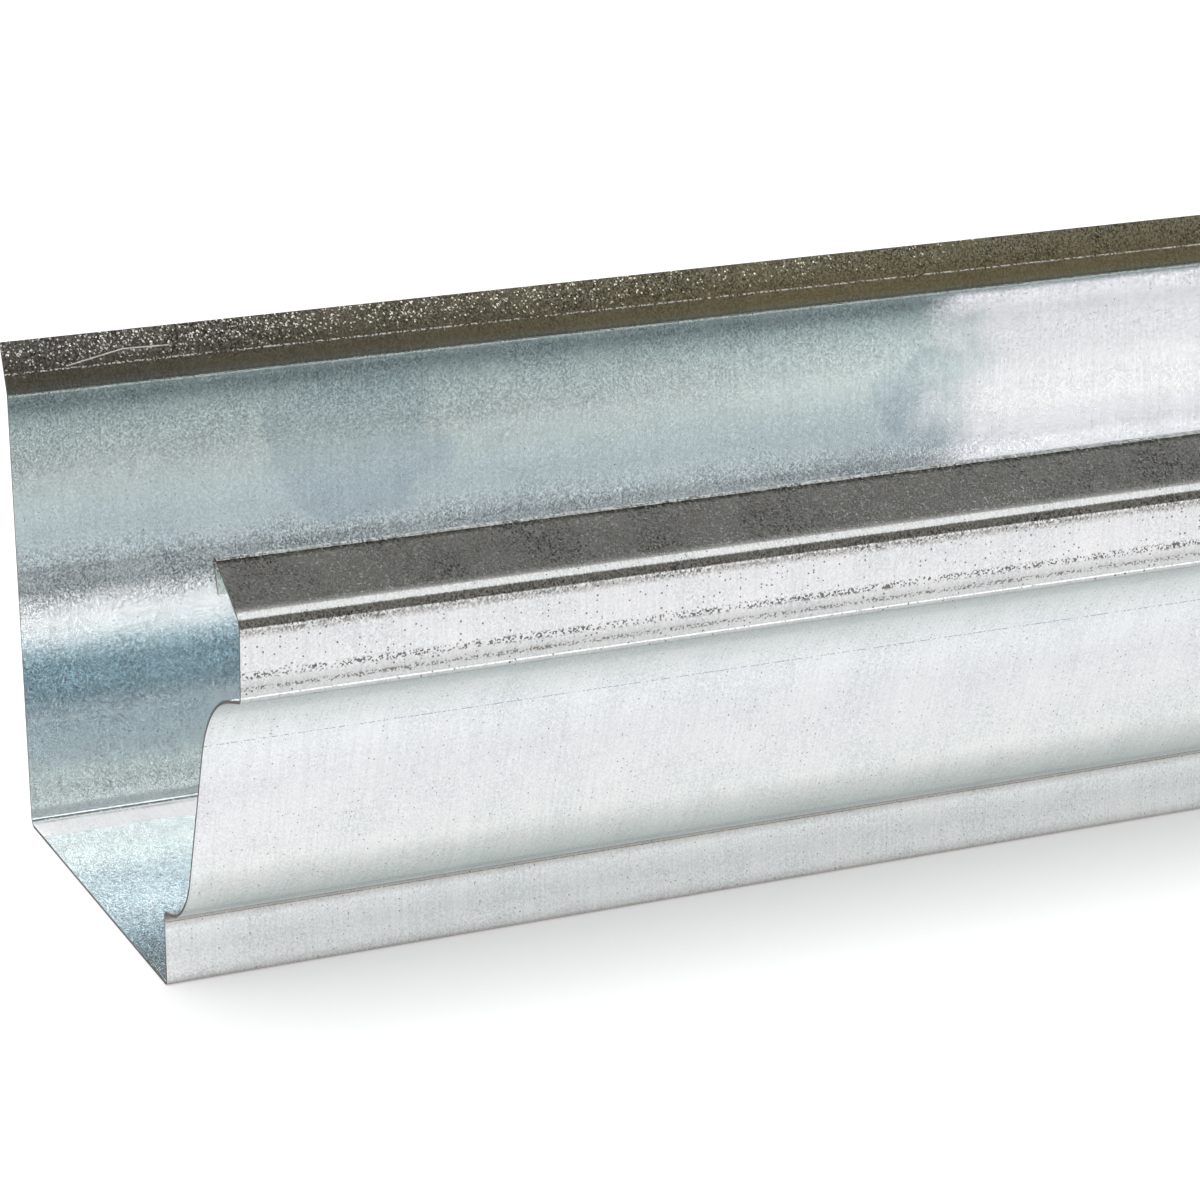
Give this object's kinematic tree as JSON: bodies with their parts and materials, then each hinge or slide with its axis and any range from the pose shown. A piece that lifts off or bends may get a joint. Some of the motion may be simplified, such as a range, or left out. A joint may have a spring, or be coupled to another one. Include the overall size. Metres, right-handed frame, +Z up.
{
  "type": "gutter section",
  "caption": "Straight length of ogee-front rain gutter, roll-formed from thin galvanised steel sheet, open on top and at both ends.",
  "frame": {"origin": "centre of the flat underside, at mid-length", "axes": "+X along the length; +Y from the moulded front to the back wall, towards the building; +Z up, out of the open top"},
  "size_m": [3.048, 0.1303, 0.0887],
  "materials": {
    "galvanised_sheet": "hot-dip galvanised, minimised spangle, semi-bright"
  },
  "bodies": {
    "root": {"gutter_section": "galvanised_sheet"}
  },
  "joints": []
}
